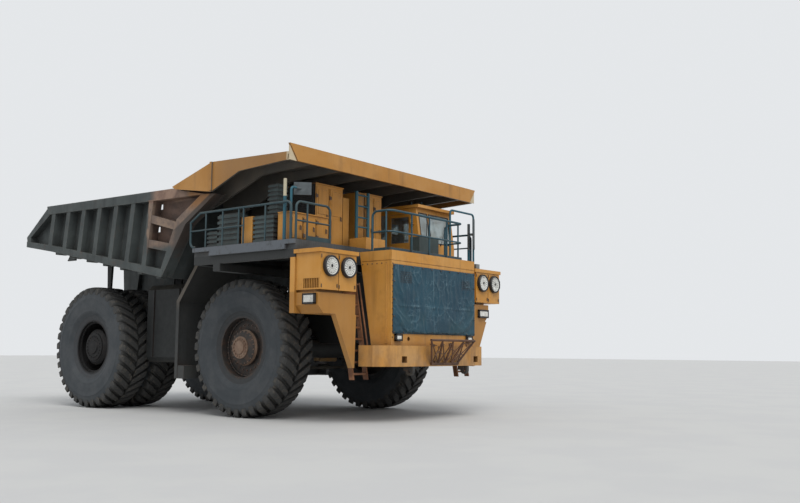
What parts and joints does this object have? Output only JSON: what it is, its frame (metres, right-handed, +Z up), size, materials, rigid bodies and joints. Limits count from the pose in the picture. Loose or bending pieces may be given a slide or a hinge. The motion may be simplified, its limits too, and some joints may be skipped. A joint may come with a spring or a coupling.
{
  "type": "mining dump truck",
  "caption": "Rigid mining dump truck with a tipping rock body and canopy, steered front wheels, dual rear wheels, deck, cab and covered radiator.",
  "frame": {"origin": "on the ground under the middle of the truck's outline", "axes": "+Z up, +Y towards the tail, +X towards the truck's left, which is the cab's side"},
  "size_m": [6.76, 11.8999, 5.6249],
  "materials": {
    "body_yellow": "weathered gloss paint",
    "frame_dark": "dirty matt paint",
    "bed_grey": "worn plate",
    "deck_grey": "scuffed chequer plate",
    "rail_blue": "worn gloss paint",
    "rust_steel": "rusted",
    "core_grey": "dusty",
    "cover_cloth": "coated woven sheet",
    "lamp_white": "lens",
    "cab_glass": "clear",
    "seat_cloth": "woven",
    "trim_black": "moulded",
    "column_grey": "faded paint",
    "cylinder_yellow": "dirty gloss paint",
    "rod_chrome": "polished",
    "tyre": "dusty rubber",
    "rim_rust": "rusty paint",
    "rim_dark": "dirty paint"
  },
  "bodies": {
    "chassis": {"frame": "frame_dark", "front_axle": "frame_dark", "rear_axle": "frame_dark", "suspension_struts": "cylinder_yellow", "bumper": "body_yellow", "tow_eyes": "frame_dark", "radiator_housing": "body_yellow", "radiator_core": "core_grey", "radiator_cover": "cover_cloth", "engine_block": "frame_dark", "deck": "deck_grey", "lamp_boxes": "body_yellow", "lamp_bezels": "trim_black", "headlamps": "lamp_white", "rails_right": "rail_blue", "rails_front": "rail_blue", "rails_left": "rail_blue", "ladders": "rust_steel", "front_step": "rust_steel", "cab_shell": "body_yellow", "cab_glass": "cab_glass", "cab_seat": "seat_cloth", "cab_controls": "trim_black", "cabinets": "body_yellow", "air_columns": "column_grey", "rack": "rail_blue", "mirrors": "rail_blue", "side_tanks": "frame_dark", "mudguards": "frame_dark"},
    "bed": {"bed_floor": "bed_grey", "bed_side_left": "bed_grey", "bed_side_right": "bed_grey", "bed_front_wall": "bed_grey", "bed_canopy": "body_yellow", "rock_ejectors": "frame_dark"},
    "hoist_barrel_left": {"hoist_barrel_left": "cylinder_yellow"},
    "hoist_rod_left": {"hoist_rod_left": "rod_chrome"},
    "hoist_barrel_right": {"hoist_barrel_right": "cylinder_yellow"},
    "hoist_rod_right": {"hoist_rod_right": "rod_chrome"},
    "knuckle_left": {"knuckle_left": "frame_dark"},
    "knuckle_right": {"knuckle_right": "frame_dark"},
    "tie_rod": {"tie_rod": "frame_dark"},
    "steer_barrel_left": {"steer_barrel_left": "cylinder_yellow"},
    "steer_rod_left": {"steer_rod_left": "rod_chrome"},
    "steer_barrel_right": {"steer_barrel_right": "cylinder_yellow"},
    "steer_rod_right": {"steer_rod_right": "rod_chrome"},
    "wheel_front_left": {"tyre_front_left": "tyre", "rim_front_left": "rim_rust"},
    "wheel_rear_left": {"tyres_rear_left": "tyre", "rims_rear_left": "rim_dark"},
    "wheel_front_right": {"tyre_front_right": "tyre", "rim_front_right": "rim_rust"},
    "wheel_rear_right": {"tyres_rear_right": "tyre", "rims_rear_right": "rim_dark"},
    "door_left": {"door_left": "body_yellow", "door_left_glass": "cab_glass"},
    "door_right": {"door_right": "body_yellow", "door_right_glass": "cab_glass"}
  },
  "joints": [
    {"name": "bed_tip", "type": "hinge", "parent": "chassis", "child": "bed", "pos_m": [0, 4.51, 2.5], "axis": [-1, 0, 0], "range_deg": [0, 47]},
    {"name": "hoist_foot_left", "type": "hinge", "parent": "chassis", "child": "hoist_barrel_left", "pos_m": [1.06, 0.81, 1.05], "axis": [-1, 0, 0], "range_deg": [-1.51, 0.5]},
    {"name": "hoist_stroke_left", "type": "slide", "parent": "hoist_barrel_left", "child": "hoist_rod_left", "axis": [0, 0.5735, 0.8192], "range_m": [-0.01, 1.896]},
    {"name": "hoist_foot_right", "type": "hinge", "parent": "chassis", "child": "hoist_barrel_right", "pos_m": [-1.06, 0.81, 1.05], "axis": [-1, 0, 0], "range_deg": [-1.51, 0.5]},
    {"name": "hoist_stroke_right", "type": "slide", "parent": "hoist_barrel_right", "child": "hoist_rod_right", "axis": [0, 0.5735, 0.8192], "range_m": [-0.01, 1.896]},
    {"name": "steer_left", "type": "hinge", "parent": "chassis", "child": "knuckle_left", "pos_m": [1.45, -2.04, 1.52], "axis": [0, 0, 1], "range_deg": [-32, 32]},
    {"name": "steer_right", "type": "hinge", "parent": "chassis", "child": "knuckle_right", "pos_m": [-1.45, -2.04, 1.52], "axis": [0, 0, 1], "range_deg": [-32.5, 32.5]},
    {"name": "tie_rod_end", "type": "hinge", "parent": "knuckle_left", "child": "tie_rod", "pos_m": [1.45, -1.62, 1.05], "axis": [0, 0, 1], "range_deg": [-32.5, 32.5]},
    {"name": "steer_foot_left", "type": "hinge", "parent": "chassis", "child": "steer_barrel_left", "pos_m": [0.45, -1.54, 1.2583], "axis": [0, 0, 1], "range_deg": [-1.5, 1.5]},
    {"name": "steer_stroke_left", "type": "slide", "parent": "steer_barrel_left", "child": "steer_rod_left", "axis": [0.9968, -0.0797, 0], "range_m": [-0.2296, 0.2296]},
    {"name": "steer_foot_right", "type": "hinge", "parent": "chassis", "child": "steer_barrel_right", "pos_m": [-0.45, -1.54, 1.2583], "axis": [0, 0, 1], "range_deg": [-1.5, 1.5]},
    {"name": "steer_stroke_right", "type": "slide", "parent": "steer_barrel_right", "child": "steer_rod_right", "axis": [-0.9968, -0.0797, 0], "range_m": [-0.2296, 0.2296]},
    {"name": "roll_front_left", "type": "hinge", "parent": "knuckle_left", "child": "wheel_front_left", "pos_m": [2.16, -2.04, 1.52], "axis": [1, 0, 0], "continuous": true},
    {"name": "roll_rear_left", "type": "hinge", "parent": "chassis", "child": "wheel_rear_left", "pos_m": [1.935, 3.26, 1.52], "axis": [1, 0, 0], "continuous": true},
    {"name": "roll_front_right", "type": "hinge", "parent": "knuckle_right", "child": "wheel_front_right", "pos_m": [-2.16, -2.04, 1.52], "axis": [1, 0, 0], "continuous": true},
    {"name": "roll_rear_right", "type": "hinge", "parent": "chassis", "child": "wheel_rear_right", "pos_m": [-1.935, 3.26, 1.52], "axis": [1, 0, 0], "continuous": true},
    {"name": "door_swing_left", "type": "hinge", "parent": "chassis", "child": "door_left", "pos_m": [2.582, -3.995, 4], "axis": [0, 0, -1], "range_deg": [0, 60]},
    {"name": "door_swing_right", "type": "hinge", "parent": "chassis", "child": "door_right", "pos_m": [1.068, -3.995, 4], "axis": [0, 0, 1], "range_deg": [0, 75]}
  ],
  "couplings": [
    {"joint": "hoist_foot_left", "follows": "bed_tip", "ratio": -0.0214},
    {"joint": "hoist_stroke_left", "follows": "bed_tip", "m_per_rad": 2.2992},
    {"joint": "hoist_foot_right", "follows": "bed_tip", "ratio": -0.0214},
    {"joint": "hoist_stroke_right", "follows": "bed_tip", "m_per_rad": 2.2992},
    {"joint": "steer_right", "follows": "steer_left", "ratio": 1},
    {"joint": "tie_rod_end", "follows": "steer_left", "ratio": -1},
    {"joint": "steer_foot_left", "follows": "steer_left", "ratio": -0.0314},
    {"joint": "steer_stroke_left", "follows": "steer_left", "m_per_rad": -0.3932},
    {"joint": "steer_foot_right", "follows": "steer_left", "ratio": -0.0314},
    {"joint": "steer_stroke_right", "follows": "steer_left", "m_per_rad": 0.3932}
  ]
}
